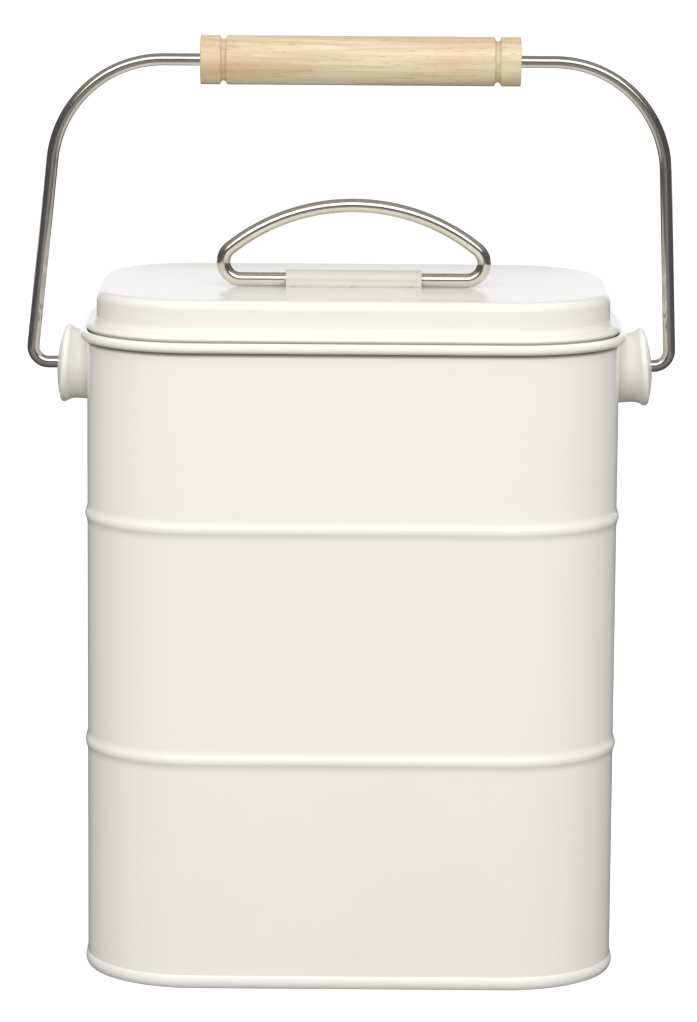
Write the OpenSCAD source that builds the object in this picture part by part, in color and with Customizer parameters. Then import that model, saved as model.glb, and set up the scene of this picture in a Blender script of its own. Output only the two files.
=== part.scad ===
// Enamelled steel compost caddy with a lift-off lid and a swinging bail.
// Origin: centre of the footprint, on the surface it stands on. +Z up, front -Y.

/* [Body] */
// Width of the body over its walls
body_w = 165; // [140:1:200]
// Depth of the body over its walls
body_d = 112; // [98:1:150]
// Height of the body to the top of its rolled rim
body_h = 202; // [170:1:250]
// Radius of the upright corners
corner_r = 34.4; // [32:0.2:44]
// Thickness of the enamelled body sheet
wall_t = 0.6; // [0.5:0.1:0.9]
// Outside diameter of the rolled rim
curl_dia = 2.8; // [2.4:0.1:3.4]
// Heights of the two swaged ribs
rib_heights = [72, 144]; // [55:1:150]
// How far a rib stands out of the wall
rib_proud = 0.7; // [0.4:0.05:1]
// Radius of a rib's crown
rib_crown = 3.2; // [2.4:0.2:5]
// Radius of the soft bends above and below a rib
rib_root = 6; // [3:0.5:9]
// Width of the lapped seam down the back
lap_w = 6; // [4:0.5:9]
// How far the lapped seam stands out
lap_proud = 0.3; // [0.2:0.05:0.5]

/* [Base] */
// Height of the rolled seam that holds the base
seam_h = 3.2; // [2.6:0.1:4.5]
// Thickness of the base sheet
base_t = 0.6; // [0.5:0.1:0.9]
// Height of the sunk floor above the surface it stands on
floor_z = 4; // [3.2:0.1:6]

/* [Ears] */
// Distance from the top of the rim down to the bail axis
ear_drop = 14; // [14:0.5:50]
// Radius of the ear's barrel
ear_barrel_r = 10.4; // [9.4:0.1:10.4]
// Radius of the ear's flared rim
ear_rim_r = 12.3; // [11.8:0.1:13]
// Distance from the wall to the widest part of the rim
ear_rim_x = 7.5; // [6:0.1:9]
// Distance from the wall to the crown of the face
ear_reach = 10.5; // [9.6:0.1:13]
// Radius of the flare under the rim
ear_flare = 3.4; // [2.6:0.1:5]
// Radius of the fillet where the ear meets the wall
ear_root = 0.9; // [0.6:0.1:1.4]
// Thickness of the ear's sheet
ear_t = 0.8; // [0.6:0.05:1]
// Radius of the rolled edge of the ear's rim
ear_round = 1.4; // [1.2:0.1:1.8]
// Depth of the collar drawn inwards round the bore
collar_deep = 3; // [2:0.1:4]

/* [Bail] */
// Diameter of the bail wire
bail_dia = 4; // [3.2:0.1:4.6]
// Height of the grip's axis above the bail axis
bail_rise = 95.3; // [85:0.5:110]
// Distance from the crown of an ear to the outside bend of the bail
bail_out = 7.7; // [7:0.1:16]
// Lean of each leg towards the middle, in degrees
leg_lean = 4.9; // [2:0.1:8]
// Radius of the wide shoulder bends
shoulder_r = 38; // [28:0.5:44]
// Radius of the lower bends
foot_r = 6; // [4:0.5:8]
// Running clearance round the bail wire, on the radius
wire_clear = 0.08; // [0.04:0.01:0.1]
// How much thinner on the radius a wire is drawn at each bend
bend_slim = 0.02; // [0.01:0.005:0.04]

/* [Grip] */
// Length of the turned grip
grip_len = 100; // [80:1:104]
// Diameter of the grip
grip_dia = 16; // [13:0.5:22]
// Distance from an end of the grip to the middle of its groove
groove_at = 7.3; // [5:0.1:12]
// Width of a groove
groove_w = 3; // [2:0.2:4.4]
// Depth of a groove
groove_deep = 1.25; // [0.6:0.05:1.8]
// Chamfer on the ends of the grip
grip_chamfer = 0.9; // [0.4:0.1:1.5]

/* [Lid] */
// Thickness of the enamelled lid sheet
lid_t = 0.6; // [0.5:0.1:0.8]
// Height of the lid's border above the rim of the body
lid_rise = 12; // [11:0.2:16]
// How far the neck is set in from the wall
neck_in = 3; // [2.6:0.1:3.6]
// Radius of the shoulder
lid_shoulder_r = 3; // [2:0.1:3.4]
// Radius of the flare under the neck
flare_r = 2.4; // [2:0.1:2.8]
// Radius of the turned lip
lip_r = 1.5; // [1.3:0.05:1.7]
// How far the lip stays inside the wall
lip_in = 0.2; // [0:0.05:0.6]
// How far the top panel is dished below its border
dish = 1.65; // [1:0.05:1.9]
// Radius of the dished slope between the border and the panel
dish_r = 190; // [120:5:210]
// How far the plug ring reaches down into the body
plug_deep = 8.5; // [6:0.5:14]
// Gap between the plug ring and the body wall
plug_clear = 0.7; // [0.5:0.05:1.2]
// Gap between the lip and the rim it rests on
seat_clear = 0.2; // [0.1:0.05:0.3]

/* [Lid handle] */
// Diameter of the handle wire
pull_dia = 4.4; // [3.6:0.1:5]
// Half width of the handle, to the middle of the wire
pull_half = 40.9; // [34:0.1:48]
// Height of the handle's crown above its axis
pull_rise = 23.4; // [18:0.2:28]
// Radius of the handle's arch
arch_r = 62; // [50:0.5:80]
// Running clearance round the handle wire
pull_clear = 0.08; // [0.05:0.01:0.1]
// Length of the clip that holds the wire
clip_len = 42.6; // [34:0.2:50]
// Thickness of the clip's sheet
clip_t = 0.8; // [0.6:0.05:1]
// Width of each flange of the clip
clip_flange = 4.6; // [3.6:0.1:7]
// How far the wire reaches into the clip
pull_grip = 13; // [8:0.5:16]

/* [Filter] */
// Size of the charcoal pad
pad_size = [112, 62, 6]; // [4:1:120]
// Thickness of the tray's sheet
tray_t = 0.6; // [0.5:0.1:0.9]
// Diameter of the vent holes
vent_dia = 5; // [3:0.5:6]
// Spacing of the vent holes
vent_pitch = 11; // [8:0.5:14]

/* [Hidden] */
$fn = 64;
eps = 0.01;
// How far a cut runs past what it cuts
over = 1;

cream = [0.93, 0.92, 0.86];
steel = [0.72, 0.70, 0.67];
wood = [0.87, 0.70, 0.50];
charcoal = [0.14, 0.14, 0.14];

// Rim and base of the body
curl_r = curl_dia / 2;
curl_z = body_h - curl_r;
curl_x = curl_r - wall_t;
rib_half = sqrt(rib_proud * (2 * rib_root + 2 * rib_crown - rib_proud));
rib_turn = asin(rib_half / (rib_root + rib_crown));
lap_gap = 1;
seam_out = 0.65;
seam_gap = 0.05;
seam_r = 0.5;
seam_bead_r = 2.6;
seam_in = -wall_t - seam_gap - base_t;

// Lid, with heights taken from the top of the body's rim
panel_h = lid_rise - dish;
shoulder_x = -neck_in - lid_shoulder_r;
shoulder_h = lid_rise - lid_shoulder_r;
lip_x = -lip_in - lip_r;
lip_h = sqrt(pow(lip_r + curl_r + seat_clear, 2) - pow(curl_x - lip_x, 2)) - curl_r;
flare_x = flare_r - neck_in;
flare_h = lip_h + sqrt(pow(flare_r + lip_r, 2) - pow(flare_x - lip_x, 2));
lip_turn = atan2(flare_h - lip_h, flare_x - lip_x);
dish_h = panel_h + dish_r;
dish_x = shoulder_x - sqrt(dish * (2 * dish_r + 2 * lid_shoulder_r - dish));
dish_turn = atan2(shoulder_h - dish_h, shoulder_x - dish_x);
plug_x = -wall_t - plug_clear;
plug_in = -neck_in - lid_t;
plug_joggle = 0.5;
plug_head = 1;
panel_lap = 1;
panel_z = body_h + panel_h;

// Lid handle
pull_r = pull_dia / 2;
pull_z = panel_z + pull_r + pull_clear;
arch_h = pull_rise - arch_r;
clip_in_r = pull_r + pull_clear;
clip_out_r = clip_in_r + clip_t;
clip_low = -pull_r - pull_clear;
// Corner radius that is tangent to both the foot and the arch
turn_b = arch_r - pull_half - arch_h;
turn_c = pow(pull_half, 2) + pow(arch_h, 2) - pow(arch_r, 2);
turn_r = -turn_b + sqrt(pow(turn_b, 2) - turn_c);
pull_meet = atan2(turn_r - arch_h, pull_half - turn_r);

// Ears: the flare and the domed face are both tangent to the rim's rolled edge
ear_z = body_h - ear_drop;
ear_edge = ear_rim_r - ear_round;
ear_lift = ear_barrel_r + ear_flare - ear_edge;
ear_run = sqrt(pow(ear_flare + ear_round, 2) - pow(ear_lift, 2));
ear_meet = atan2(-ear_lift, ear_run);
ear_crown = ear_reach - ear_rim_x;
ear_face_r = (pow(ear_edge, 2) + pow(ear_crown, 2) - pow(ear_round, 2))
             / (2 * (ear_crown - ear_round));
ear_tip = atan2(ear_edge, ear_face_r - ear_crown);
bore_r = bail_dia / 2 + wire_clear;

// Bail
bail_r = bail_dia / 2;
grip_r = grip_dia / 2;
top_z = ear_z + bail_rise;
bail_half = body_w / 2 + ear_reach + bail_out;
leg_x = bail_half - foot_r;
bend_h = bail_rise - shoulder_r;
bend_x = leg_x + (foot_r - shoulder_r) / cos(leg_lean)
              - (bend_h - foot_r) * tan(leg_lean);
wire_lap = 0.1;
foot_stop = 1.5;

// Filter
tray_gap = 0.3;
tray_in = [pad_size[0] + 2 * tray_gap, pad_size[1] + 2 * tray_gap];
pad_top = panel_z - lid_t - tray_gap;
pad_z = pad_top - pad_size[2];
tray_floor_z = pad_z - tray_gap;
tray_corner = 6;
tab_w = 8;
tab_reach = 5;
tab_gap = 0.2;

// ---- 2-D helpers -----------------------------------------------------------

// Rounded rectangle of the body's plan, moved out by off
module plan(off = 0) {
    rounded(body_w + 2 * off, body_d + 2 * off, corner_r + off);
}

module rounded(w, d, r) {
    square([w - 2 * r, d], center = true);
    square([w, d - 2 * r], center = true);
    for (sx = [-1, 1], sy = [-1, 1])
        translate([sx * (w / 2 - r), sy * (d / 2 - r)]) circle(r);
}

// Sweeps a section round the body's plan: x is the distance out from the wall
module sweep() {
    run_x = body_w - 2 * corner_r;
    run_y = body_d - 2 * corner_r;
    for (turn = [0, 180]) rotate(turn) {
        translate([body_w / 2, run_y / 2, 0]) rotate([90, 0, 0])
            linear_extrude(run_y) children();
        translate([run_x / 2, body_d / 2, 0]) rotate([90, 0, 90])
            translate([0, 0, -run_x]) linear_extrude(run_x) children();
        translate([run_x / 2, run_y / 2, 0]) rotate_extrude(angle = 90)
            translate([corner_r, 0]) children();
        translate([-run_x / 2, run_y / 2, 0]) rotate(90) rotate_extrude(angle = 90)
            translate([corner_r, 0]) children();
    }
}

// Ring between two radii, round a centre
module ring(x, z, r_out, r_in) {
    translate([x, z]) difference() {
        circle(r_out);
        circle(r_in);
    }
}

// Rectangle given by its corners
module span(x0, x1, z0, z1) {
    translate([x0, z0]) square([x1 - x0, z1 - z0]);
}

// Points along an arc, and a list turned round
function arc(x, z, r, from, to, steps) =
    [for (i = [0:steps]) let (a = from + (to - from) * i / steps)
        [x + r * cos(a), z + r * sin(a)]];
function turned(list) = [for (i = [len(list) - 1:-1:0]) list[i]];

// ---- Body ------------------------------------------------------------------

// Path of a rib over the sheet, at a depth below its outer face
function rib_path(z, deep) = concat(
    arc(rib_root, z - rib_half, rib_root + deep, 180, 180 - rib_turn, 3),
    arc(rib_proud - rib_crown, z, rib_crown - deep, -rib_turn, rib_turn, 6),
    arc(rib_root, z + rib_half, rib_root + deep, 180 + rib_turn, 180, 3));

function wall_path(deep) = concat(
    [[-deep, base_t]],
    [for (z = rib_heights) each rib_path(z, deep)],
    [[-deep, curl_z]]);

module wall_section() {
    polygon(concat(wall_path(0), turned(wall_path(wall_t))));
    // The rim is rolled outwards and its edge comes back towards the wall
    difference() {
        ring(curl_x, curl_z, curl_r, curl_r - wall_t);
        span(0, curl_x, curl_z - curl_r - eps, curl_z);
    }
}

module body_wall() {
    color(cream) {
        sweep() wall_section();
        // Lapped seam down the back
        translate([-lap_w / 2, body_d / 2 - wall_t / 2, seam_h + lap_gap])
            cube([lap_w, wall_t / 2 + lap_proud, curl_z - curl_r - seam_h - 2 * lap_gap]);
    }
}

// The base is sunk and its edge is rolled up round the foot of the wall as a bead
module base_panel() {
    color(cream) {
        sweep() {
            difference() {
                intersection() {
                    union() {
                        span(seam_in, seam_out + over, seam_r, seam_h);
                        span(seam_in + seam_r, seam_out + over, 0, seam_r);
                        translate([seam_in + seam_r, seam_r]) circle(seam_r);
                    }
                    translate([seam_out - seam_bead_r, seam_h / 2]) circle(seam_bead_r);
                }
                span(seam_in + base_t, seam_gap, base_t - eps, seam_h + over);
            }
            span(seam_in, seam_in + base_t, seam_h - seam_r, floor_z);
        }
        translate([0, 0, floor_z - base_t]) linear_extrude(base_t)
            plan(seam_in + base_t / 2);
    }
}

// ---- Ears ------------------------------------------------------------------

// Path of the ear's sheet from the wall to its collar, at a depth below its face:
// x is the distance from the wall and y the radius
function ear_path(deep) = concat(
    arc(ear_root, ear_barrel_r + ear_root, ear_root + deep, 180, 270, 4),
    arc(ear_rim_x - ear_run, ear_barrel_r + ear_flare, ear_flare + deep, -90, ear_meet, 6),
    arc(ear_rim_x, ear_edge, ear_round - deep, 180 + ear_meet, ear_tip, 8),
    arc(ear_reach - ear_face_r, 0, ear_face_r - deep, ear_tip,
        asin((bore_r + deep) / (ear_face_r - deep)), 4),
    [[ear_reach - collar_deep, bore_r + deep]]);

// Pressed cup with a collar drawn inwards round the bore for the bail
module ear() {
    rotate([0, 90, 0]) rotate_extrude() rotate(90) mirror([0, 1]) difference() {
        polygon(concat(ear_path(0), turned(ear_path(ear_t))));
        span(-over, 0, 0, ear_rim_r);
    }
}

module ear_boss_left() {
    color(cream) translate([-body_w / 2, 0, ear_z]) mirror([1, 0, 0]) ear();
}

module ear_boss_right() {
    color(cream) translate([body_w / 2, 0, ear_z]) ear();
}

// ---- Bail ------------------------------------------------------------------

// A straight length of wire between two points in the XZ plane, lapped past them
module rod(a, b, r, lap_a = 0, lap_b = 0) {
    run = b - a;
    translate([a[0], 0, a[1]]) rotate([0, 90 - atan2(run[1], run[0]), 0])
        translate([0, 0, -lap_a]) cylinder(r = r, h = norm(run) + lap_a + lap_b);
}

// A bend of wire in the XZ plane, from one angle to another
module bend(c, bend_r, from, to, r) {
    translate([c[0], 0, c[1]]) rotate([90, 0, 0]) rotate([0, 0, from])
        rotate_extrude(angle = to - from) translate([bend_r, 0]) circle(r);
}

// The bail, above its axis: the straights lap into the slimmer bends
module bail_side() {
    foot_end = body_w / 2 + foot_stop;
    leg_foot = [leg_x + foot_r * cos(leg_lean), foot_r + foot_r * sin(leg_lean)];
    leg_head = [bend_x + shoulder_r * cos(leg_lean),
                bend_h + shoulder_r * sin(leg_lean)];
    rod([foot_end, 0], [leg_x, 0], bail_r, 0, wire_lap);
    bend([leg_x, foot_r], foot_r, -90, leg_lean, bail_r - bend_slim);
    rod(leg_foot, leg_head, bail_r, wire_lap, wire_lap);
    bend([bend_x, bend_h], shoulder_r, leg_lean, 90, bail_r - bend_slim);
}

module bail_wire() {
    color(steel) translate([0, 0, ear_z]) {
        bail_side();
        mirror([1, 0, 0]) bail_side();
        rod([-bend_x, bail_rise], [bend_x, bail_rise], bail_r, wire_lap, wire_lap);
    }
}

module bail_grip() {
    half = grip_len / 2;
    groove_x = half - groove_at;
    color(wood) translate([0, 0, top_z]) rotate([0, 90, 0]) rotate_extrude()
        difference() {
            polygon([[bail_r + wire_clear, -half], [grip_r - grip_chamfer, -half],
                     [grip_r, -half + grip_chamfer], [grip_r, half - grip_chamfer],
                     [grip_r - grip_chamfer, half], [bail_r + wire_clear, half]]);
            for (s = [-1, 1])
                polygon([[grip_r + eps, s * groove_x - groove_w / 2],
                         [grip_r - groove_deep, s * groove_x],
                         [grip_r + eps, s * groove_x + groove_w / 2]]);
        }
}

// ---- Lid -------------------------------------------------------------------

// Path of the lid's sheet from panel to lip, at a depth below its outer face
function lid_path(deep) = concat(
    [[dish_x - panel_lap, panel_h - deep]],
    arc(dish_x, dish_h, dish_r + deep, -90, dish_turn, 4),
    arc(shoulder_x, shoulder_h, lid_shoulder_r - deep, dish_turn + 180, 0, 7),
    arc(flare_x, flare_h, flare_r + deep, 180, 180 + lip_turn, 5),
    arc(lip_x, lip_h, lip_r - deep, lip_turn, -180, 12));

// Section of the lid's sheet: dished slope, border, shoulder, neck, flare and lip
module lid_section() {
    polygon(concat(lid_path(0), turned(lid_path(lid_t))));
}

module lid_shell() {
    color(cream) translate([0, 0, body_h]) {
        sweep() lid_section();
        translate([0, 0, panel_h - lid_t]) linear_extrude(lid_t)
            plan(dish_x - panel_lap / 2);
    }
}

// Ring inside the lid that plugs the mouth of the body
module lid_plug_ring() {
    low = lip_h - lip_r - plug_joggle;
    drop = plug_x - plug_in;
    color(cream) translate([0, 0, body_h]) sweep() {
        span(plug_in - lid_t, plug_in, low, shoulder_h - plug_head);
        polygon([[plug_in - lid_t, low], [plug_in, low], [plug_x, low - drop],
                 [plug_x - lid_t, low - drop]]);
        span(plug_x - lid_t, plug_x, -plug_deep, low - drop);
    }
}

// ---- Lid handle ------------------------------------------------------------

// Folded strap over the wire, with a flange each side on the panel
module lid_handle_clip() {
    flange_y = clip_out_r + clip_flange;
    color(cream) translate([-clip_len / 2, 0, pull_z]) rotate([90, 0, 90])
        linear_extrude(clip_len) difference() {
            union() {
                circle(clip_out_r);
                span(-clip_out_r, clip_out_r, clip_low, 0);
                span(-flange_y, flange_y, clip_low, clip_low + clip_t);
            }
            circle(clip_in_r);
            span(-clip_in_r, clip_in_r, clip_low - over, 0);
            span(-clip_out_r, clip_out_r, -clip_out_r - over, clip_low);
        }
}

module pull_side() {
    turn = [pull_half - turn_r, turn_r];
    bend(turn, turn_r, -90, pull_meet, pull_r - bend_slim);
    rod([clip_len / 2 - pull_grip, 0], [turn[0], 0], pull_r, 0, wire_lap);
}

// The arch laps into the slimmer turns at its two ends
module lid_handle_wire() {
    lap = wire_lap / arch_r * 180 / PI;
    color(steel) translate([0, 0, pull_z]) {
        pull_side();
        mirror([1, 0, 0]) pull_side();
        bend([0, arch_h], arch_r, pull_meet - lap, 180 - pull_meet + lap, pull_r);
    }
}

// ---- Filter ----------------------------------------------------------------

module filter_pad() {
    color(charcoal) translate([0, 0, pad_z]) linear_extrude(pad_size[2])
        rounded(pad_size[0], pad_size[1], tray_corner - tray_gap);
}

// Shallow tray under the lid, pierced all over its floor
module filter_tray() {
    across = floor((tray_in[0] / 2 - tray_corner) / vent_pitch);
    deep = floor((tray_in[1] / 2 - tray_corner) / vent_pitch);
    color(steel) difference() {
        translate([0, 0, tray_floor_z - tray_t]) linear_extrude(pad_size[2] + tray_t)
            rounded(tray_in[0] + 2 * tray_t, tray_in[1] + 2 * tray_t, tray_corner + tray_t);
        translate([0, 0, tray_floor_z]) linear_extrude(pad_size[2] + over)
            rounded(tray_in[0], tray_in[1], tray_corner);
        for (i = [-across:across], j = [-deep:deep])
            translate([i * vent_pitch, j * vent_pitch, tray_floor_z - tray_t - over])
                cylinder(d = vent_dia, h = tray_t + 2 * over);
    }
}

// Four bent tabs welded under the panel that carry the tray
module filter_clips() {
    out = tray_in[1] / 2 + tray_t + tab_gap;
    top = panel_z - lid_t;
    bottom = tray_floor_z - tray_t - tab_gap;
    color(steel) for (sx = [-1, 1], sy = [-1, 1])
        translate([sx * pad_size[0] / 4 - tab_w / 2, 0, 0]) scale([1, sy, 1]) {
            translate([0, out, bottom - tray_t]) cube([tab_w, tray_t, top - bottom + tray_t]);
            translate([0, out - tab_reach + tray_t, bottom - tray_t])
                cube([tab_w, tab_reach, tray_t]);
            translate([0, out, top - tray_t]) cube([tab_w, tab_reach, tray_t]);
        }
}

body_wall();
base_panel();
ear_boss_left();
ear_boss_right();
bail_wire();
bail_grip();
lid_shell();
lid_plug_ring();
lid_handle_clip();
lid_handle_wire();
filter_pad();
filter_tray();
filter_clips();
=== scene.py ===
import math

import bpy
from mathutils import Matrix, Vector


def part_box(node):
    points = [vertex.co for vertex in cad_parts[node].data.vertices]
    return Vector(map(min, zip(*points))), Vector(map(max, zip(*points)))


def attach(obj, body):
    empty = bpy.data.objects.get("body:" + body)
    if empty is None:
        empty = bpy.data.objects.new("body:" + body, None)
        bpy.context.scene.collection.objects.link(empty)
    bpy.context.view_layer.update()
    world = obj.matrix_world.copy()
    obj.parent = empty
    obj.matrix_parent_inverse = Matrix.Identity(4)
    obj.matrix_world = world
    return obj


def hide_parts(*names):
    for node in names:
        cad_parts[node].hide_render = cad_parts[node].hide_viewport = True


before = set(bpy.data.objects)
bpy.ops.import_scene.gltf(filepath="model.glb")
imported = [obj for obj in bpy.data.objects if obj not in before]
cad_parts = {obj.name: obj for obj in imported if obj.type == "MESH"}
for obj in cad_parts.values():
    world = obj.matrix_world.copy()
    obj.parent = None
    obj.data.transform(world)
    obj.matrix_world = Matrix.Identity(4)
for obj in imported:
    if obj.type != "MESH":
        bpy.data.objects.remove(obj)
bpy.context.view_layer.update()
print("frame loaded")

milli = 0.001  # the object is measured in millimetres, its studio in metres

drawing = {
    "plane": 2,            # side of the plane that becomes a line's first point
    "gap": 0.002,          # points closer than this become one
    "level": 0.001,        # how far in height, and then sideways, an edge may lie from its place
    "beside": 0.02,
    "sharp": 50,           # degrees from which an edge is rounded
    "edgeSteps": 3,
}


def mm(*values):  # millimetres in, metres out
    return tuple(value * milli for value in values)


def arc(centreOut, centreUp, radius, start, end, steps):  # points along an arc, angles in degrees
    points = []
    for i in range(steps + 1):
        angle = math.radians(start + (end - start) * i / steps)
        points.append((centreOut + radius * math.cos(angle), centreUp + radius * math.sin(angle)))
    return points


def drawLine(name, places):  # a plane merged to one point, which is extruded from place to place
    bpy.ops.object.select_all(action="DESELECT")
    bpy.ops.mesh.primitive_plane_add(size=drawing["plane"] * milli, location=places[0])
    piece = bpy.context.object
    piece.name = piece.data.name = name
    bpy.ops.object.transform_apply(location=True, rotation=True, scale=True)
    bpy.ops.object.mode_set(mode="EDIT")
    bpy.ops.mesh.select_mode(type="VERT")
    bpy.ops.mesh.merge(type="CENTER")
    for here, there in zip(places, places[1:]):
        step = [b - a for a, b in zip(here, there)]
        bpy.ops.mesh.extrude_vertices_move(TRANSFORM_OT_translate={"value": step})
    bpy.ops.mesh.select_all(action="SELECT")
    return piece


def pull(*step):  # extrudes what is selected, in millimetres
    bpy.ops.mesh.extrude_region_move(TRANSFORM_OT_translate={"value": mm(*step)})


def turn(steps, degrees, centre, axis):  # spins what is selected, right-handed about the axis
    bpy.ops.mesh.spin(steps=steps, angle=-math.radians(degrees), center=mm(*centre), axis=axis)


def closeUp():  # welds the seam and turns the faces outwards
    bpy.ops.mesh.select_all(action="SELECT")
    bpy.ops.mesh.remove_doubles(threshold=drawing["gap"] * milli)
    bpy.ops.mesh.normals_make_consistent(inside=False)


def faceAway(piece, middle):  # turns an open sheet so that its faces look away from a point
    bpy.ops.object.mode_set(mode="OBJECT")
    centre = Vector(mm(*middle))
    outward = sum(face.normal.dot(face.center - centre) * face.area for face in piece.data.polygons)
    bpy.ops.object.mode_set(mode="EDIT")
    if outward < 0:
        bpy.ops.mesh.select_all(action="SELECT")
        bpy.ops.mesh.flip_normals()


def pickFaces(piece, test):  # selects faces by their centre and normal, from object mode
    mesh = piece.data
    mesh.vertices.foreach_set("select", [False] * len(mesh.vertices))
    mesh.edges.foreach_set("select", [False] * len(mesh.edges))
    for face in mesh.polygons:
        face.select = bool(test(face.center * 1000, face.normal))


def pickEdges(piece, test):  # selects edges by their middle, from object mode
    mesh = piece.data
    mesh.polygons.foreach_set("select", [False] * len(mesh.polygons))
    mesh.vertices.foreach_set("select", [False] * len(mesh.vertices))
    for edge in mesh.edges:
        a, b = (mesh.vertices[i].co for i in edge.vertices)
        edge.select = bool(test((a + b) * 500))


def finishPiece(piece, sheet=0, bevel=0, smoothAngle=40):  # thickness, edge rounding, shading
    bpy.ops.object.mode_set(mode="OBJECT")
    if sheet:
        wall = piece.modifiers.new("wall", "SOLIDIFY")
        wall.thickness = sheet * milli
        wall.offset = -1
        wall.use_even_offset = True
        bpy.ops.object.modifier_apply(modifier=wall.name)
    if bevel:
        edge = piece.modifiers.new("edge", "BEVEL")
        edge.width = bevel * milli
        edge.segments = drawing["edgeSteps"]
        edge.limit_method = "ANGLE"
        edge.angle_limit = math.radians(drawing["sharp"])
        bpy.ops.object.modifier_apply(modifier=edge.name)
    bpy.ops.object.shade_smooth_by_angle(angle=math.radians(smoothAngle))


def sweepRound(name, section, backStrip=0):  # carries a section round the body's plan
    steps = body["cornerSteps"]
    runX = body["width"] / 2 - body["cornerRadius"]
    runY = body["depth"] / 2 - body["cornerRadius"]
    places = [mm(0, -body["depth"] / 2 - out, up) for out, up in section]
    piece = drawLine(name, places)
    up = (0, 0, 1)
    pull(runX, 0, 0)
    turn(steps, 90, (runX, -runY, 0), up)
    pull(0, 2 * runY, 0)
    turn(steps, 90, (runX, runY, 0), up)
    if backStrip:
        pull(backStrip / 2 - runX, 0, 0)
        pull(-backStrip, 0, 0)
        pull(backStrip / 2 - runX, 0, 0)
    else:
        pull(-2 * runX, 0, 0)
    turn(steps, 90, (-runX, runY, 0), up)
    pull(0, -2 * runY, 0)
    turn(steps, 90, (-runX, -runY, 0), up)
    pull(runX, 0, 0)
    closeUp()
    return piece


def dress(piece, node, bodyName, material):  # the piece stands for its CAD node
    piece.data.materials.clear()
    piece.data.materials.append(material)
    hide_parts(node)
    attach(piece, bodyName)


def tone(red, green, blue):  # screen colour, 0 to 255, as the linear value that the shader wants
    linear = []
    for value in (red, green, blue):
        share = value / 255
        linear.append(share / 12.92 if share <= 0.04045 else ((share + 0.055) / 1.055) ** 2.4)
    return (*linear, 1)


class Signal:  # a socket that adds, multiplies and compares by adding nodes

    def __init__(self, finish, socket):
        self.finish = finish
        self.socket = socket

    def joined(self, operation, other):
        return self.finish.node("Math", {"operation": operation}, {0: self, 1: other})

    def __add__(self, other):
        return self.joined("ADD", other)

    __radd__ = __add__

    def __sub__(self, other):
        return self.joined("SUBTRACT", other)

    def __rsub__(self, other):
        return self.joined("MULTIPLY", -1).joined("ADD", other)

    def __mul__(self, other):
        return self.joined("MULTIPLY", other)

    __rmul__ = __mul__

    def above(self, low, high):  # 0 below low, 1 above high, smooth between
        return self.finish.node("MapRange", {"interpolation_type": "SMOOTHSTEP"},
                                {"Value": self, "From Min": low, "From Max": high})


class Finish:  # one procedural material

    def __init__(self, name):
        self.material = bpy.data.materials.new(name)
        self.material.use_nodes = True
        self.tree = self.material.node_tree
        self.shader = self.tree.nodes["Principled BSDF"]
        self.place = self.node("TexCoord", {}, {}, "Object")

    def node(self, kind, settings, sockets, output=0):  # adds a node and gives one of its outputs
        made = self.tree.nodes.new("ShaderNode" + kind)
        for key, value in settings.items():
            setattr(made, key, value)
        for key, value in sockets.items():
            if isinstance(value, Signal):
                self.tree.links.new(value.socket, made.inputs[key])
            else:
                made.inputs[key].default_value = value
        return Signal(self, made.outputs[output])

    def stretched(self, x, y, z):  # the object's own coordinates, scaled along each axis
        return self.node("Mapping", {}, {"Vector": self.place, "Scale": (x, y, z)})

    def noise(self, vector, scale=1, detail=2, roughness=0.5, distortion=0):
        return self.node("TexNoise", {}, {"Vector": vector, "Scale": scale, "Detail": detail,
                                          "Roughness": roughness, "Distortion": distortion})

    def blend(self, mask, first, second):  # mixes two colours
        return self.node("Mix", {"data_type": "RGBA"}, {0: mask, 6: first, 7: second}, 2)

    def axes(self, vector):  # the three numbers of a vector
        made = self.node("SeparateXYZ", {}, {"Vector": vector}).socket.node
        return [Signal(self, made.outputs[name]) for name in "XYZ"]

    def bump(self, height, distance, under=None):  # under is the normal that it starts from
        sockets = {"Height": height, "Distance": distance}
        if under:
            sockets["Normal"] = under
        return self.node("Bump", {}, sockets)

    def put(self, **sockets):  # sets or links the shader's own sockets
        for key, value in sockets.items():
            socket = self.shader.inputs[key.replace("_", " ")]
            if isinstance(value, Signal):
                self.tree.links.new(value.socket, socket)
            else:
                socket.default_value = value


enamel = {
    # wall and lid: shade over band is painted shade, a darker tone in the crease under the rim's
    # bead and under the lid's lip, heights in millimetres
    "wall": {"first": tone(241, 238, 229), "second": tone(239, 236, 226), "roughness": 0.12,
             "shade": tone(142, 138, 120), "band": (196.9, 198.1, 198.4, 198.7)},
    "lid": {"first": tone(234, 231, 221), "second": tone(232, 229, 218), "roughness": 0.19,
            "shade": tone(176, 172, 156), "band": (200.5, 200.8, 202.0, 202.7)},
    # ear: a lighter cream than the wall's own, painted light that lifts the barrel out of the shade
    # beside the wall
    "ear": {"first": tone(247, 245, 234), "second": tone(245, 243, 231), "roughness": 0.2},
    # strap: a darker cream than the lid's own, painted shade on the strap and its flange
    "strap": {"first": tone(204, 202, 189), "second": tone(198, 195, 181), "roughness": 0.3},
    "cloudSize": 14,       # sizes of patterns are per metre, depths are in metres
    "cloud": (0.35, 0.7),  # a mask goes from none to full between two such levels of its noise
    "speckSize": 420,
    "speckRough": 0.05,    # roughness that the specks add
    "peelSize": 900,       # bumps of the sprayed coat
    "peelDepth": 0.000003,
    "waveSize": 22,        # slow waves of the pressed sheet
    "waveDepth": 0.00008,
    "ior": 1.52,
}


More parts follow.
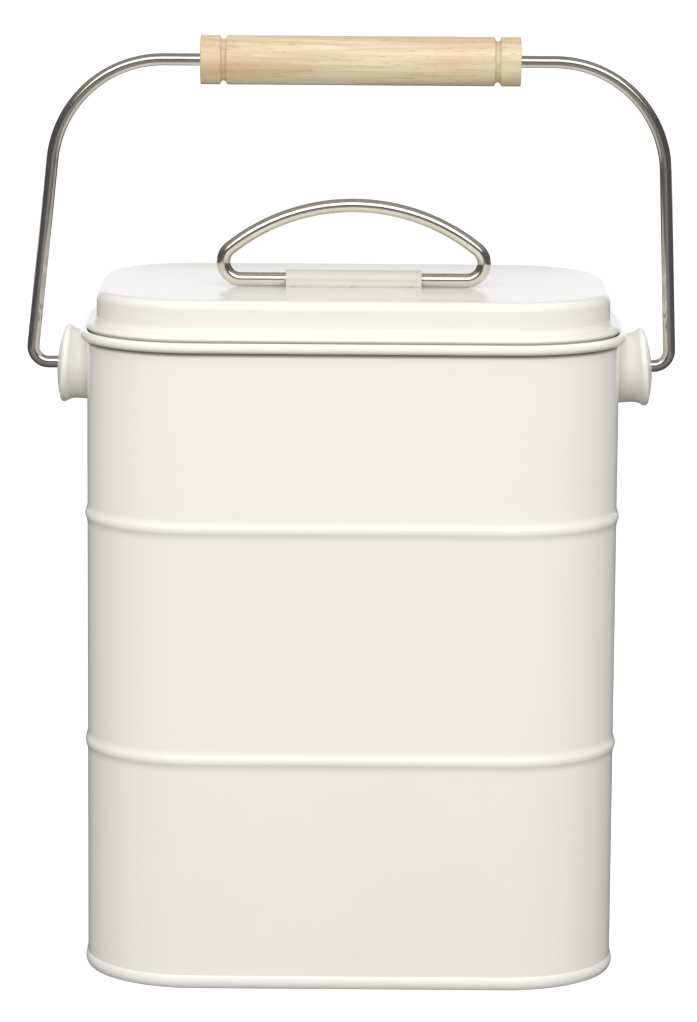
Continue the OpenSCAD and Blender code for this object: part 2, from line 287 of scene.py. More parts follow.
def makeEnamel(name, look):
    coat = Finish(name)
    cloud = coat.noise(coat.place, enamel["cloudSize"], detail=3)
    speck = coat.noise(coat.place, enamel["speckSize"])
    tint = coat.blend(cloud.above(*enamel["cloud"]), look["first"], look["second"])
    if "band" in look:  # painted shade in the crease at one height: the shadow under the rim's bead on the wall, and under the lid's lip
        up = coat.axes(coat.place)[2]
        low, full, fullEnd, end = mm(*look["band"])
        tint = coat.blend(up.above(low, full) * (1 - up.above(fullEnd, end)), tint, look["shade"])
    peel = coat.noise(coat.place, enamel["peelSize"], roughness=0.55)
    wave = coat.noise(coat.place, enamel["waveSize"], detail=1)
    shaped = coat.bump(peel, enamel["peelDepth"], coat.bump(wave, enamel["waveDepth"]))
    rough = look["roughness"] + enamel["speckRough"] * speck
    coat.put(Base_Color=tint, Roughness=rough, Normal=shaped, IOR=enamel["ior"])
    return coat.material


wire = {
    "bail": {"bright": tone(228, 222, 214), "dull": tone(212, 204, 194)},
    # pull: a lighter tint than the bail's, painted reflection of the cream lid under the wire
    "pull": {"bright": tone(242, 236, 225), "dull": tone(228, 220, 207)},
    "roughness": 0.1,
    "smearSize": 60,
    "smear": (0.3, 0.8),
    "smearRough": 0.05,
    "roughFrom": (0.35, 0.75),
    "scratchSize": (500, 4000, 500),
    "scratchRough": 0.03,
    "scratchDepth": 0.000002,
}


def makeWire(name, look):
    plate = Finish(name)
    smear = plate.noise(plate.place, wire["smearSize"], detail=4, roughness=0.6)
    scratch = plate.noise(plate.stretched(*wire["scratchSize"]), roughness=0.6)
    tint = plate.blend(smear.above(*wire["smear"]), look["bright"], look["dull"])
    rough = wire["roughness"] + wire["smearRough"] * smear.above(*wire["roughFrom"])
    plate.put(Base_Color=tint, Metallic=1.0, Roughness=rough + wire["scratchRough"] * scratch,
              Normal=plate.bump(scratch, wire["scratchDepth"]))
    return plate.material


wood = {
    "pale": tone(228, 211, 179),
    "mid": tone(214, 190, 150),
    "rose": tone(216, 183, 146),
    "deep": tone(192, 160, 113),
    "pore": tone(150, 112, 72),
    "roseShare": 0.45,
    "deepShare": 0.38,
    "poreShare": 0.42,
    "figureSize": (14, 260, 260),  # along the grain and across it
    "streakSize": (34, 800, 800),
    "patchSize": (24, 70, 70),
    "poreSize": (260, 2600, 2600),
    "figure": (0.36, 0.62),
    "streak": (0.46, 0.66),
    "patch": (0.48, 0.66),
    "pores": (0.62, 0.7),
    "sunken": (0.6, 0.75),
    "streakHeight": 0.5,   # beside a pore's depth of one
    "grainDepth": 0.00004,
    "roughness": 0.34,
    "streakRough": 0.12,
    "lacquer": 0.4,
    "lacquerRough": 0.22,
    "ior": 1.5,
}


def makeWood():
    beech = Finish("lacqueredBeech")
    figure = beech.noise(beech.stretched(*wood["figureSize"]), detail=5, roughness=0.55,
                         distortion=0.6)
    streak = beech.noise(beech.stretched(*wood["streakSize"]), detail=4, roughness=0.6)
    patch = beech.noise(beech.stretched(*wood["patchSize"]))
    pore = beech.noise(beech.stretched(*wood["poreSize"]))
    tint = beech.blend(figure.above(*wood["figure"]), wood["pale"], wood["mid"])
    tint = beech.blend(patch.above(*wood["patch"]) * wood["roseShare"], tint, wood["rose"])
    tint = beech.blend(streak.above(*wood["streak"]) * wood["deepShare"], tint, wood["deep"])
    tint = beech.blend(pore.above(*wood["pores"]) * wood["poreShare"], tint, wood["pore"])
    height = pore.above(*wood["sunken"]) * -1 + streak * wood["streakHeight"]
    grain = beech.bump(height, wood["grainDepth"])
    beech.put(Base_Color=tint, Roughness=wood["roughness"] + wood["streakRough"] * streak,
              Normal=grain, IOR=wood["ior"], Coat_Weight=wood["lacquer"],
              Coat_Roughness=wood["lacquerRough"])
    return beech.material


charcoal = {
    "dark": tone(24, 24, 25),
    "light": tone(58, 58, 60),
    "fibreSize": (900, 900, 300),
    "fibre": (0.35, 0.7),
    "fibreDepth": 0.0003,
    "roughness": 0.95,
    "ior": 1.3,
}


def makeFelt():
    wool = Finish("charcoalFelt")
    fibre = wool.noise(wool.stretched(*charcoal["fibreSize"]), detail=4, roughness=0.7)
    tint = wool.blend(fibre.above(*charcoal["fibre"]), charcoal["dark"], charcoal["light"])
    wool.put(Base_Color=tint, Roughness=charcoal["roughness"], IOR=charcoal["ior"],
             Normal=wool.bump(fibre, charcoal["fibreDepth"]))
    return wool.material


traySteel = {
    "bright": tone(205, 204, 200),
    "dull": tone(182, 180, 175),
    "brushSize": (30, 2600, 2600),
    "brushDepth": 0.000006,
    "brushRough": 0.14,
    "smearSize": 45,
    "smear": (0.3, 0.75),
    "roughness": 0.26,
}


def makeTraySteel():
    steel = Finish("satinSteel")
    brush = steel.noise(steel.stretched(*traySteel["brushSize"]), detail=3, roughness=0.6)
    smear = steel.noise(steel.place, traySteel["smearSize"], detail=3)
    tint = steel.blend(smear.above(*traySteel["smear"]), traySteel["bright"], traySteel["dull"])
    rough = traySteel["roughness"] + traySteel["brushRough"] * brush
    steel.put(Base_Color=tint, Metallic=1.0, Roughness=rough,
              Normal=steel.bump(brush, traySteel["brushDepth"]))
    return steel.material


scorch = {
    "pale": tone(200, 196, 180),
    "dark": tone(168, 162, 144),
    "sootSize": 700,
    "soot": (0.4, 0.7),
    "sootDepth": 0.00005,
    "sootRough": 0.3,
    "roughness": 0.4,
}


def makeScorch():
    mark = Finish("weldScorch")
    soot = mark.noise(mark.place, scorch["sootSize"], detail=3, roughness=0.6)
    tint = mark.blend(soot.above(*scorch["soot"]), scorch["pale"], scorch["dark"])
    mark.put(Base_Color=tint, Roughness=scorch["roughness"] + scorch["sootRough"] * soot,
             Normal=mark.bump(soot, scorch["sootDepth"]))
    return mark.material


wallEnamel = makeEnamel("wallEnamel", enamel["wall"])
lidEnamel = makeEnamel("lidEnamel", enamel["lid"])
earEnamel = makeEnamel("earEnamel", enamel["ear"])
strapEnamel = makeEnamel("strapEnamel", enamel["strap"])
bailNickel = makeWire("bailNickel", wire["bail"])
pullNickel = makeWire("pullNickel", wire["pull"])
lacqueredBeech = makeWood()
charcoalFelt = makeFelt()
satinSteel = makeTraySteel()
weldScorch = makeScorch()
print("finishes made")


body = {
    "width": 165,
    "depth": 112,
    "height": 202,
    "cornerRadius": 34.4,
    "cornerSteps": 22,
    "sheet": 0.6,
    "start": 0.65,         # height at which the wall begins, just over the base sheet
    "curlRadius": 1.4,
    "curlLow": 0.35,       # the bead sits a little under the wall's full height
    "curlTall": 0.3,       # and is a little taller than round
    "curlTuck": 100,       # degrees that the curl turns back under its widest part
    "curlFoot": 196.5,     # height of the wall's last ring under the curl
    "curlSpare": 0.01,     # keeps the curl's outside just under its full radius
    "ribHeights": (72, 144),
    "ribProud": 0.7,
    "ribCrown": 3.2,       # radius of a rib's crown, and of the bends above and below it
    "ribRoot": 6.0,
    "ringAbove": 30,       # from the ground, and from each rib, up to the next ring of the wall
    "lapWidth": 6,         # the lapped seam down the back, and the heights that it runs between
    "lapProud": 0.3,
    "lapFrom": 4.1,
    "lapTo": 197,
    "inside": 100,         # height of the point that the wall's faces look away from
}

base = {
    "seamHeight": 4.4,
    "seamProud": 0.65,
    "seamBead": 3.4,       # radius of the seam's rounded face
    "edgeRound": 0.5,
    "gap": 0.05,           # between the wall and the base round it
    "sheet": 0.6,
    "floorHeight": 4,
    "floorRound": 0.8,     # bend under the floor
    "floorInner": 0.4,     # bend over it
}


def bodySection():  # how far out and how high, from the foot of the wall to the end of the curl
    curl = body["curlRadius"]
    curlUp = body["height"] - curl - body["curlLow"]
    root = body["ribRoot"]
    crown = body["ribCrown"]
    span = crown + root
    half = math.sqrt(body["ribProud"] * (2 * span - body["ribProud"]))
    swing = math.degrees(math.asin(half / span))
    line = [(0, body["start"]), (0, base["floorHeight"]), (0, body["ringAbove"])]
    for height in body["ribHeights"]:
        line += arc(root, height - half, root, 180, 180 - swing, 7)
        line += arc(body["ribProud"] - crown, height, crown, -swing, swing, 10)[1:]
        line += arc(root, height + half, root, 180 + swing, 180, 7)[1:]
        line.append((0, height + body["ringAbove"]))
    line.append((0, body["curlFoot"]))
    turned = curl - body["sheet"] - body["curlSpare"]
    line += arc(turned, curlUp, turned, 180, 0, 14)
    line += arc(turned, curlUp - body["curlTall"], turned, 0, -body["curlTuck"], 9)
    return line


wall = sweepRound("bodyWall", bodySection(), backStrip=body["lapWidth"])
faceAway(wall, (0, 0, body["inside"]))
bpy.ops.object.mode_set(mode="OBJECT")
pickFaces(wall, lambda c, n: abs(c.x) < body["lapWidth"] / 2 and n.y > 0.5
          and body["lapFrom"] < c.z < body["lapTo"]
          and c.y < body["depth"] / 2 + body["ribProud"])  # the strip that looks back
bpy.ops.object.mode_set(mode="EDIT")
bpy.ops.mesh.extrude_region_shrink_fatten(
    TRANSFORM_OT_shrink_fatten={"value": body["lapProud"] * milli})
finishPiece(wall, sheet=body["sheet"])
dress(wall, "body_wall", "caddy", wallEnamel)


def baseSection():  # from the middle of the floor's underside round the seam to its top side
    inner = -body["sheet"] - base["gap"] - base["sheet"]
    bead = base["seamBead"]
    beadAt = base["seamProud"] - bead
    half = base["seamHeight"] / 2
    edge = base["edgeRound"]
    soft = base["floorRound"]
    under = base["floorHeight"] - base["sheet"]
    slot = inner + base["sheet"]
    top = math.degrees(math.acos((base["gap"] - beadAt) / bead))
    low = math.degrees(math.asin((half - edge) / (bead - edge)))
    line = arc(inner - soft, under - soft, soft, 90, 0, 6)
    line += arc(inner + edge, edge, edge, 180, 270, 5)
    line += arc(beadAt + (bead - edge) * math.cos(math.radians(low)), edge, edge, 270, 360 - low, 5)
    line += arc(beadAt, half, bead, -low, top, 14)[1:]
    line += [(base["gap"], base["sheet"]), (slot, base["sheet"])]
    bend = base["floorInner"]
    line += arc(slot - bend, base["floorHeight"] - bend, bend, 0, 90, 5)
    line.append((inner - soft, base["floorHeight"]))
    return line


def fillPlan(piece, out, up):  # closes the hole inside the ring at that place of the section
    bpy.ops.object.mode_set(mode="OBJECT")
    wide = body["width"] / 2 + out + drawing["beside"]
    deep = body["depth"] / 2 + out + drawing["beside"]
    pickEdges(piece, lambda m: abs(m.z - up) < drawing["level"]
              and abs(m.y) < deep and abs(m.x) < wide)
    bpy.ops.object.mode_set(mode="EDIT")
    bpy.ops.mesh.edge_face_add()


foot = sweepRound("basePanel", baseSection())
fillPlan(foot, *baseSection()[0])
fillPlan(foot, *baseSection()[-1])
closeUp()
finishPiece(foot)
dress(foot, "base_panel", "caddy", wallEnamel)
print("body made")


ear = {
    "height": 188,
    "barrel": 10.9,        # radii of the barrel and of its rim
    "rim": 12.3,
    "rimAt": 7.5,          # from the wall to the rim's middle, and to the crown of the face
    "reach": 10.5,
    "rimRound": 1.4,
    "flare": 5.2,
    "sheet": 0.8,
    "bore": 2.08,
    "boreRound": 0.5,
    "collar": 2.6,         # depth of the collar drawn inwards round the bore
    "start": 2,            # how far inside the wall the barrel is drawn from, before its cut
    "trim": 0.3,           # depth of the cut end inside the wall's sheet
    "sides": 72,
    "inside": 1,           # distance from the wall of the point that its faces look away from
    "tilt": 4,             # the face looks a little upwards
    "rightOut": 1.0,       # the right ear stands out a little further
}


def earSection():  # how far out and how far up, from the barrel over the rim to the bore
    edge = ear["rim"] - ear["rimRound"]
    lift = ear["barrel"] + ear["flare"] - edge
    run = math.sqrt((ear["flare"] + ear["rimRound"]) ** 2 - lift ** 2)
    flareAt = ear["rimAt"] - run
    meet = math.degrees(math.atan2(-lift, run))
    crown = ear["reach"] - ear["rimAt"]
    faceRadius = (edge ** 2 + crown ** 2 - ear["rimRound"] ** 2) / (2 * (crown - ear["rimRound"]))
    faceAt = ear["reach"] - faceRadius
    tip = math.degrees(math.atan2(edge, ear["rimAt"] - faceAt))
    hole = ear["bore"] + ear["boreRound"]
    stop = math.degrees(math.asin(hole / faceRadius))
    line = arc(flareAt, ear["barrel"] + ear["flare"], ear["flare"], -90, meet, 10)
    line += arc(ear["rimAt"], edge, ear["rimRound"], 180 + meet, tip, 14)[1:]
    line += arc(faceAt, 0, faceRadius, tip, stop, 12)[1:]
    faceEnd = line[-1][0]
    line += arc(faceEnd - ear["boreRound"], hole, ear["boreRound"], 0, -90, 5)[1:]
    line.append((faceEnd - ear["collar"], ear["bore"]))
    return line


def makeEar(side, name, node):
    wallAt = body["width"] / 2
    further = ear["rightOut"] if side > 0 else 0
    places = [mm(side * (wallAt - ear["start"]), 0, ear["height"] + ear["barrel"])]
    places += [mm(side * (wallAt + out + further), 0, ear["height"] + up)
               for out, up in earSection()]
    piece = drawLine(name, places)
    turn(ear["sides"], 360, (0, 0, ear["height"]), (1, 0, 0))
    closeUp()
    faceAway(piece, (side * (wallAt + ear["inside"]), 0, ear["height"]))
    finishPiece(piece, sheet=ear["sheet"])
    bpy.ops.object.mode_set(mode="EDIT")
    bpy.ops.mesh.select_all(action="SELECT")
    bpy.ops.transform.rotate(
        value=side * math.radians(ear["tilt"]), orient_axis="Y", orient_type="GLOBAL",
        center_override=mm(side * (wallAt + ear["reach"] + further), 0, ear["height"]))
    bpy.ops.mesh.bisect(plane_co=mm(side * (wallAt - ear["trim"]), 0, 0), plane_no=(side, 0, 0),
                        clear_inner=True, use_fill=True)
    bpy.ops.object.mode_set(mode="OBJECT")
    dress(piece, node, "caddy", earEnamel)


makeEar(-1, "earLeft", "ear_boss_left")
makeEar(1, "earRight", "ear_boss_right")
print("ears made")


def beginWire(name, radius, sides, place):  # a disc facing +X, ready to be pulled along a line
    bpy.ops.object.select_all(action="DESELECT")
    bpy.ops.mesh.primitive_circle_add(vertices=sides, radius=radius * milli, fill_type="NGON",
                                      location=mm(*place), rotation=(0, math.pi / 2, 0))
    piece = bpy.context.object
    piece.name = piece.data.name = name
    bpy.ops.object.transform_apply(location=True, rotation=True, scale=True)
    bpy.ops.object.mode_set(mode="EDIT")
    bpy.ops.mesh.select_mode(type="FACE")
    bpy.ops.mesh.select_all(action="SELECT")
    return piece


def endWire(piece, chamfer):  # rounds both cut ends
    closeUp()
    finishPiece(piece, bevel=chamfer)


bail = {
    "radius": 1.92,
    "axis": 188,
    "rise": 95.3,          # from the axis up to the straight top
    "right": 99.5,         # from the middle to the outside of each foot's bend
    "left": 100.7,
    "leanRight": 2.1,      # degrees that each leg leans inwards
    "leanLeft": 6.0,
    "shoulder": 35,        # radii of the bends, on the wire's middle
    "foot": 4.8,
    "footEnd": 84,
    "chamfer": 0.4,
    "sides": 20,
    "footSteps": 10,
    "shoulderSteps": 24,
}

shoulderUp = bail["rise"] - bail["shoulder"]


def bailLeg(foot, lean):  # places of the bend and the shoulder, and the run of the straight leg
    swing = math.radians(lean)
    bend = foot - bail["foot"]
    at = (bend + (bail["foot"] - bail["shoulder"]) / math.cos(swing)
          - (shoulderUp - bail["foot"]) * math.tan(swing))
    across = at + bail["shoulder"] * math.cos(swing) - bend - bail["foot"] * math.cos(swing)
    rise = shoulderUp - bail["foot"] + (bail["shoulder"] - bail["foot"]) * math.sin(swing)
    return bend, at, across, rise


rightBend, rightAt, rightRun, rightRise = bailLeg(bail["right"], bail["leanRight"])
leftBend, leftAt, leftRun, leftRise = bailLeg(bail["left"], bail["leanLeft"])
back = (0, -1, 0)
bailWire = beginWire("bailWire", bail["radius"], bail["sides"], (bail["footEnd"], 0, bail["axis"]))
pull(rightBend - bail["footEnd"], 0, 0)
footUp = bail["axis"] + bail["foot"]
turn(bail["footSteps"], 90 + bail["leanRight"], (rightBend, 0, footUp), back)
pull(rightRun, 0, rightRise)
turn(bail["shoulderSteps"], 90 - bail["leanRight"], (rightAt, 0, bail["axis"] + shoulderUp), back)
pull(-rightAt - leftAt, 0, 0)
turn(bail["shoulderSteps"], 90 - bail["leanLeft"], (-leftAt, 0, bail["axis"] + shoulderUp), back)
pull(leftRun, 0, -leftRise)
turn(bail["footSteps"], 90 + bail["leanLeft"], (-leftBend, 0, footUp), back)
pull(leftBend - bail["footEnd"], 0, 0)
endWire(bailWire, bail["chamfer"])
dress(bailWire, "bail_wire", "bail", bailNickel)

lidPull = {
    "radius": 2.2,
    "axis": 214.63,
    "rise": 23.4,
    "halfWidth": 40.9,
    "arch": 62,            # radius of the long bend over the top
    "footEnd": 8.3,
    "chamfer": 0.4,
    "sides": 24,
    "cornerSteps": 16,
    "archSteps": 36,
}

archUp = lidPull["rise"] - lidPull["arch"]
spare = lidPull["arch"] - lidPull["halfWidth"] - archUp
excess = lidPull["halfWidth"] ** 2 + archUp ** 2 - lidPull["arch"] ** 2
corner = -spare + math.sqrt(spare ** 2 - excess)  # radius that touches the foot and the arch
meet = math.degrees(math.atan2(corner - archUp, lidPull["halfWidth"] - corner))
cornerAt = lidPull["halfWidth"] - corner
lidWire = beginWire("lidPullWire", lidPull["radius"], lidPull["sides"],
                    (lidPull["footEnd"], 0, lidPull["axis"]))
pull(cornerAt - lidPull["footEnd"], 0, 0)
turn(lidPull["cornerSteps"], 90 + meet, (cornerAt, 0, lidPull["axis"] + corner), back)
turn(lidPull["archSteps"], 180 - 2 * meet, (0, 0, lidPull["axis"] + archUp), back)
turn(lidPull["cornerSteps"], 90 + meet, (-cornerAt, 0, lidPull["axis"] + corner), back)
pull(cornerAt - lidPull["footEnd"], 0, 0)
endWire(lidWire, lidPull["chamfer"])
dress(lidWire, "lid_handle_wire", "lid_pull", pullNickel)
print("wires made")


grip = {
    "length": 99.8,
    "shift": 1.7,          # slid a little to the right along the wire
    "radius": 7.7,
    "bore": 2.08,
    "axis": 283.3,
    "edge": 0.45,
    "sides": 64,
    "ringFrom": 8,         # from a groove to the barrel's first ring
    "ringStep": 9.5,
    "rings": 8,
    "smooth": 32,          # degrees up to which its faces shade as one
    "grooveAt": 42.7,      # from the middle; then half a groove, as steps across and deep
    "groove": [(1.3, 0), (1.02, 0.14), (0.84, 0.45), (0.72, 0.85), (0.5, 1.12), (0.2, 1.2)],
}


def gripSection():  # how far along and how far from the axis, round the whole outline
    half = grip["length"] / 2
    radius = grip["radius"]
    edge = grip["edge"]
    line = [(-half, grip["bore"]), (-half, radius - edge)]
    line += arc(-half + edge, radius - edge, edge, 180, 90, 5)[1:]
    for side in (-1, 1):
        at = side * grip["grooveAt"]
        line += [(at - across, radius - deep) for across, deep in grip["groove"]]
        line += [(at + across, radius - deep) for across, deep in reversed(grip["groove"])]
        if side < 0:
            line += [(at + grip["ringFrom"] + grip["ringStep"] * i, radius)
                     for i in range(grip["rings"])]
    line += arc(half - edge, radius - edge, edge, 90, 0, 5)
    line.append((half, grip["bore"]))
    line.append((-half, grip["bore"]))
    return line


places = [mm(along + grip["shift"], 0, grip["axis"] + up) for along, up in gripSection()]
handGrip = drawLine("woodGrip", places)
turn(grip["sides"], 360, (0, 0, grip["axis"]), (1, 0, 0))
closeUp()
finishPiece(handGrip, smoothAngle=grip["smooth"])
dress(handGrip, "bail_grip", "grip", lacqueredBeech)
print("grip made")


lid = {
    "rise": 12,
    "neckIn": 3,           # how far the neck is set in from the wall
    "shoulder": 3,
    "flare": 2.4,
    "lip": 1.5,
    "lipIn": 0.2,
    "dish": 1.65,          # how far the panel sinks
    "dishRadius": 190,
    "panelFlat": 3,        # last strip of the flat middle, where the dish begins to rise
    "seat": 0.2,           # gap between the lip and the rim's bead
    "sheet": 0.6,
    "inside": 190,
}


def lidSection():  # from the panel over the shoulder and down the neck to the end of the lip
    curl = body["curlRadius"]
    curlAt = curl - body["sheet"]
    top = body["height"]
    panelUp = lid["rise"] - lid["dish"]
    shoulderAt = -lid["neckIn"] - lid["shoulder"]
    shoulderHigh = lid["rise"] - lid["shoulder"]
    lipAt = -lid["lipIn"] - lid["lip"]
    lipUp = math.sqrt((lid["lip"] + curl + lid["seat"]) ** 2 - (curlAt - lipAt) ** 2) - curl
    flareAt = lid["flare"] - lid["neckIn"]
    flareUp = lipUp + math.sqrt((lid["flare"] + lid["lip"]) ** 2 - (flareAt - lipAt) ** 2)
    lipTurn = math.degrees(math.atan2(flareUp - lipUp, flareAt - lipAt))
    dishUp = panelUp + lid["dishRadius"]
    spread = lid["dish"] * (2 * lid["dishRadius"] + 2 * lid["shoulder"] - lid["dish"])
    dishAt = shoulderAt - math.sqrt(spread)
    dishTurn = math.degrees(math.atan2(shoulderHigh - dishUp, shoulderAt - dishAt))
    line = [(dishAt - lid["panelFlat"], panelUp)]
    line += arc(dishAt, dishUp, lid["dishRadius"], -90, dishTurn, 12)
    line += arc(shoulderAt, shoulderHigh, lid["shoulder"], dishTurn + 180, 0, 14)
    line += arc(flareAt, flareUp, lid["flare"], 180, 180 + lipTurn, 9)
    line += arc(lipAt, lipUp, lid["lip"], lipTurn, -180, 18)[1:]
    return [(out, up + top) for out, up in line]


lidShell = sweepRound("lidShell", lidSection())
fillPlan(lidShell, *lidSection()[0])
closeUp()
faceAway(lidShell, (0, 0, lid["inside"]))
finishPiece(lidShell, sheet=lid["sheet"])
dress(lidShell, "lid_shell", "lid", lidEnamel)

clip = {
    "length": 42.6,
    "sheet": 0.8,
    "flangeHigh": 0.5,
    "flange": 3.5,
    "root": 1.6,
    "flat": 0.6,           # flat of the flange before its bend begins
    "clear": 0.08,         # between the strap and the wire
    "edge": 0.15,
}


def clipSection():  # across the strap, from flange to flange over the wire
    outer = lidPull["radius"] + clip["clear"] + clip["sheet"]
    low = -lidPull["radius"] - clip["clear"]
    top = low + clip["flangeHigh"]
    root = clip["root"]
    half = [(-outer - clip["flange"], top), (-outer - root - clip["flat"], top)]
    half += arc(-outer - root, top + root, root, -90, 0, 5)
    half += arc(0, 0, outer, 180, 90, 12)
    return half + [(-y, z) for y, z in reversed(half[:-1])]


places = [mm(-clip["length"] / 2, y, lidPull["axis"] + z) for y, z in clipSection()]
strap = drawLine("lidPullClip", places)
pull(clip["length"], 0, 0)
closeUp()
faceAway(strap, (0, 0, lidPull["axis"] - lidPull["radius"]))
finishPiece(strap, sheet=clip["sheet"], bevel=clip["edge"])
dress(strap, "lid_handle_clip", "lid", strapEnamel)
print("lid made")


weld = {
    "places": (-18.8, 0, 17.8),
    "radius": 1.3,
    "height": 0.14,
    "fromEdge": 1.5,
    "sides": 20,
    "steps": ((0.4, 0.3), (0.3, -0.4)),  # inwards and up, as shares of the radius and height
}


def makeWelds():  # three small spot welds on the front flange of the strap
    bpy.ops.object.select_all(action="DESELECT")
    outer = lidPull["radius"] + clip["clear"] + clip["sheet"]
    top = lidPull["axis"] - lidPull["radius"] - clip["clear"] + clip["flangeHigh"]
    spots = []
    for at in weld["places"]:
        bpy.ops.mesh.primitive_circle_add(
            vertices=weld["sides"], radius=weld["radius"] * milli, fill_type="NGON",
            location=mm(at, -outer - clip["flange"] + weld["fromEdge"], top))
        spots.append(bpy.context.object)
        bpy.ops.object.transform_apply(location=True, rotation=True, scale=True)
        bpy.ops.object.mode_set(mode="EDIT")
        bpy.ops.mesh.select_all(action="SELECT")
        pull(0, 0, weld["height"])
        for inwards, up in weld["steps"]:
            bpy.ops.mesh.inset(thickness=weld["radius"] * inwards * milli,
                               depth=weld["height"] * up * milli)
        closeUp()
        bpy.ops.object.mode_set(mode="OBJECT")
    for spot in spots:
        spot.select_set(True)
    bpy.ops.object.join()
    marks = bpy.context.object
    marks.name = marks.data.name = "strapWelds"
    bpy.ops.object.shade_smooth_by_angle(angle=math.radians(drawing["sharp"]))
    marks.data.materials.append(weldScorch)
    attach(marks, "lid")


makeWelds()

felt = {
    "corner": 5.7,
    "cornerSteps": 8,
    "edge": 1.4,
    "edgeSteps": 4,
    "sharp": 60,
    "fuzz": 0.12,          # how uneven the felt's surface is
    "cell": 1.25,
    "seed": 5,
    "settle": 0.5,         # how far each of two passes evens it out again
}


def makePad():  # loose felt in the tray, softened at its edges and a little uneven
    low, high = ([value * 1000 for value in corner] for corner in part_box("filter_pad"))
    size = [b - a for a, b in zip(low, high)]
    bpy.ops.object.select_all(action="DESELECT")
    middle = [(a + b) / 2 for a, b in zip(low, high)]
    bpy.ops.mesh.primitive_plane_add(size=milli,
                                     location=mm(middle[0], middle[1], low[2] + felt["fuzz"]))
    pad = bpy.context.object
    pad.name = pad.data.name = "charcoalPad"
    pad.scale = (size[0] - 2 * felt["fuzz"], size[1] - 2 * felt["fuzz"], 1)
    bpy.ops.object.transform_apply(location=True, rotation=True, scale=True)
    bpy.ops.object.mode_set(mode="EDIT")
    bpy.ops.mesh.select_all(action="SELECT")
    bpy.ops.mesh.bevel(offset=felt["corner"] * milli, segments=felt["cornerSteps"],
                       affect="VERTICES")
    bpy.ops.mesh.select_all(action="SELECT")
    pull(0, 0, size[2] - 2 * felt["fuzz"])
    closeUp()
    bpy.ops.object.mode_set(mode="OBJECT")
    edge = pad.modifiers.new("edge", "BEVEL")
    edge.width = felt["edge"] * milli
    edge.segments = felt["edgeSteps"]
    edge.limit_method = "ANGLE"
    edge.angle_limit = math.radians(felt["sharp"])
    bpy.ops.object.modifier_apply(modifier=edge.name)
    net = pad.modifiers.new("net", "REMESH")
    net.mode = "VOXEL"
    net.voxel_size = felt["cell"] * milli
    bpy.ops.object.modifier_apply(modifier=net.name)
    bpy.ops.object.mode_set(mode="EDIT")
    bpy.ops.mesh.select_all(action="SELECT")
    bpy.ops.transform.vertex_random(offset=felt["fuzz"] * milli, seed=felt["seed"])
    bpy.ops.mesh.vertices_smooth(factor=felt["settle"], repeat=2)
    bpy.ops.object.mode_set(mode="OBJECT")
    bpy.ops.object.shade_smooth_by_angle(angle=math.radians(felt["sharp"]))
    dress(pad, "filter_pad", "lid", charcoalFelt)


makePad()

for node, material in (("lid_plug_ring", lidEnamel), ("filter_tray", satinSteel),
                       ("filter_clips", satinSteel)):
    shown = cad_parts[node]
    shown.data.materials.clear()
    shown.data.materials.append(material)
print("inner pieces dressed")


studio = {
    "floorSize": 16,
    "paper": (0.35, 0.35, 0.35, 1),
    "paperGlow": 0.85,     # for the camera, so that the floor is white round the shadow
    "paperFrom": (1.6, 4),  # metres behind the object over which gloss begins to see the paper
    "table": (0.10, 0.10, 0.10, 1),  # what lights the object from below
    "tableFar": (0.56, 0.56, 0.56, 1),
    "farFrom": (0.15, 1.6),  # squared metres away over which the table turns pale
    "tableShine": 0.3,     # how far the metal sees the pale table in front
    "frontFrom": (-0.4, 0.1),
    "asideFrom": (0.04, 1.2),
    "skyLow": 0.05,        # soft light: under the horizon, in the band above it, overhead
    "skyBand": 2.16,
    "skyTop": 0.8,
    "horizon": (-0.05, 0.1),  # heights in the sky's sphere over which each change happens
    "overhead": (0.15, 0.6),
    "skySide": 0.12,       # share of the soft light left at the sides and behind
    "skyBack": 0.7,
    "sideFrom": (-0.2, 0.5),
    "backFrom": (0.55, 0.9),
    "uncutFrom": (0.4, 0.8),  # overhead the soft light is whole again
    "room": 0.08,          # what the metal and the gloss see of the room
    "ceiling": 0.22,
    "ceilingFrom": (0.3, 0.8),
    "backdrop": 1.2,
    "backdropFrom": (0.9, 0.97),
    "coolFrom": (0.3, 0.7),
    "cool": (0.92, 0.93, 1.0, 1),
}


def makeFloor():
    bpy.ops.object.select_all(action="DESELECT")
    bpy.ops.mesh.primitive_plane_add(size=studio["floorSize"], location=(0, 0, 0))
    floor = bpy.context.object
    floor.name = "floor"
    paper = Finish("floorPaper")
    paper.put(Base_Color=studio["paper"], Roughness=1.0, Specular_IOR_Level=0,
              Emission_Color=(1, 1, 1, 1), Emission_Strength=studio["paperGlow"])
    seen = paper.node("LightPath", {}, {}, "Is Camera Ray")
    shine = paper.node("LightPath", {}, {}, "Is Glossy Ray")
    across, away = paper.axes(paper.place)[:2]
    far = (across * across + away * away).above(*studio["farFrom"]) * (1 - shine)
    front = 1 - away.above(*studio["frontFrom"])
    near = front * (1 - (across * across).above(*studio["asideFrom"])) * shine
    pale = far + near * studio["tableShine"]
    tint = paper.blend(pale, studio["table"], studio["tableFar"])
    table = paper.node("BsdfDiffuse", {}, {"Color": tint})
    shown = seen + shine * away.above(*studio["paperFrom"])
    both = paper.node("MixShader", {}, {0: shown, 1: table,
                                        2: Signal(paper, paper.shader.outputs[0])})
    paper.tree.links.new(both.socket, paper.tree.nodes["Material Output"].inputs["Surface"])
    floor.data.materials.append(paper.material)


class Sky(Finish):  # the same methods, on the world's nodes

    def __init__(self, name):
        world = bpy.data.worlds.new(name)
        world.use_nodes = True
        bpy.context.scene.world = world
        self.tree = world.node_tree
        self.shader = self.tree.nodes["Background"]


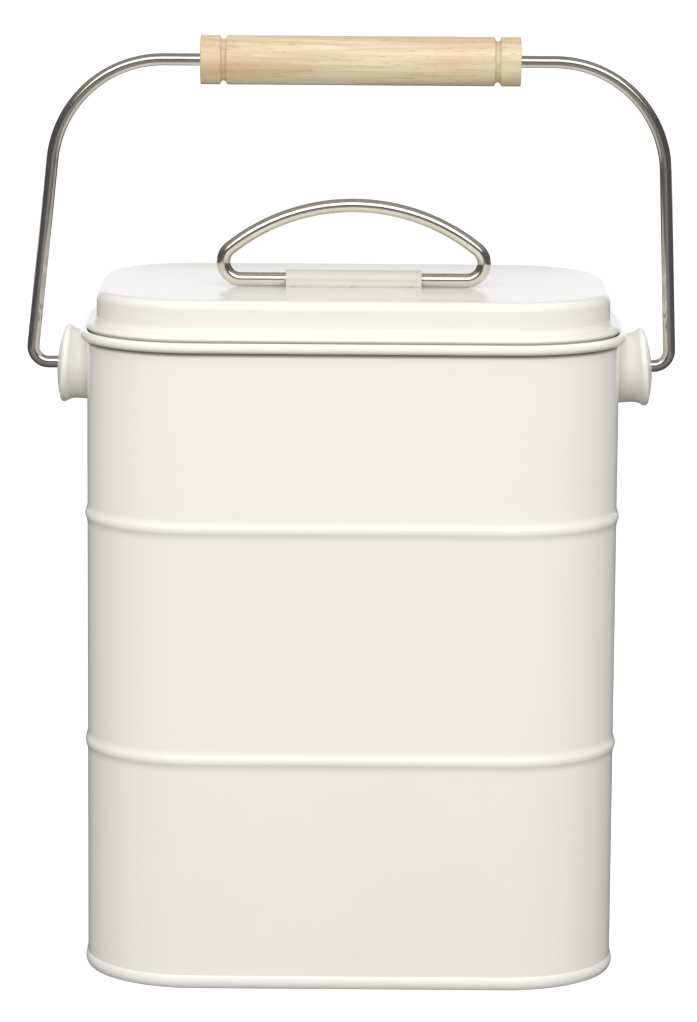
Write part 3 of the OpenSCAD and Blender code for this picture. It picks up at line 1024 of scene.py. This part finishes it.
def makeSky():
    sky = Sky("studioSky")
    seen = sky.node("LightPath", {}, {}, "Is Camera Ray")
    shine = sky.node("LightPath", {}, {}, "Is Glossy Ray")
    away, up = sky.axes(sky.node("TexCoord", {}, {}, "Generated"))[1:]
    soft = (studio["skyLow"]
            + (studio["skyBand"] - studio["skyLow"]) * up.above(*studio["horizon"])
            - (studio["skyBand"] - studio["skyTop"]) * up.above(*studio["overhead"]))
    cut = ((1 - studio["skySide"]) * away.above(*studio["sideFrom"])
           - (studio["skyBack"] - studio["skySide"]) * away.above(*studio["backFrom"]))
    soft = soft * (1 - cut * (1 - up.above(*studio["uncutFrom"])))
    behind = away.above(*studio["backdropFrom"])
    room = (studio["room"] + studio["ceiling"] * up.above(*studio["ceilingFrom"])
            + (studio["backdrop"] - studio["room"]) * behind)
    level = seen + (1 - seen) * (shine * room + (1 - shine) * soft)
    tinted = shine * behind + (1 - shine) * up.above(*studio["coolFrom"])
    colour = sky.blend(tinted, (1, 1, 1, 1), studio["cool"])
    sky.put(Color=colour, Strength=level)


softbox = {
    "place": (0, -1.58, 1.38),
    "target": (0, 0, 0.15),
    "width": 2.6,
    "height": 1.3,
    "power": 18,
}


def makeSoftbox():
    data = bpy.data.lights.new("keySoftbox", "AREA")
    data.shape = "RECTANGLE"
    data.size = softbox["width"]
    data.size_y = softbox["height"]
    data.energy = softbox["power"]
    lamp = bpy.data.objects.new("keySoftbox", data)
    bpy.context.scene.collection.objects.link(lamp)
    lamp.location = softbox["place"]
    aim = Vector(softbox["target"]) - Vector(softbox["place"])
    lamp.rotation_euler = aim.to_track_quat("-Z", "Y").to_euler()


makeFloor()
makeSky()
makeSoftbox()

camera = {
    "place": (-0.00109, -1.4356, 0.3851),
    "pitch": 9.653,
    "roll": 0.4234,
    "lens": 161.91,
    "sensor": 36,
    "near": 0.05,
    "far": 60,
}
view = bpy.data.cameras.new("camera")
view.lens = camera["lens"]
view.sensor_width = camera["sensor"]
view.clip_start = camera["near"]
view.clip_end = camera["far"]
eye = bpy.data.objects.new("camera", view)
bpy.context.scene.collection.objects.link(eye)
eye.matrix_world = (Matrix.Translation(camera["place"])
                    @ Matrix.Rotation(math.radians(90 - camera["pitch"]), 4, "X")
                    @ Matrix.Rotation(math.radians(camera["roll"]), 4, "Z"))
bpy.context.scene.camera = eye
bpy.context.scene.view_settings.view_transform = "Standard"
print("studio set")
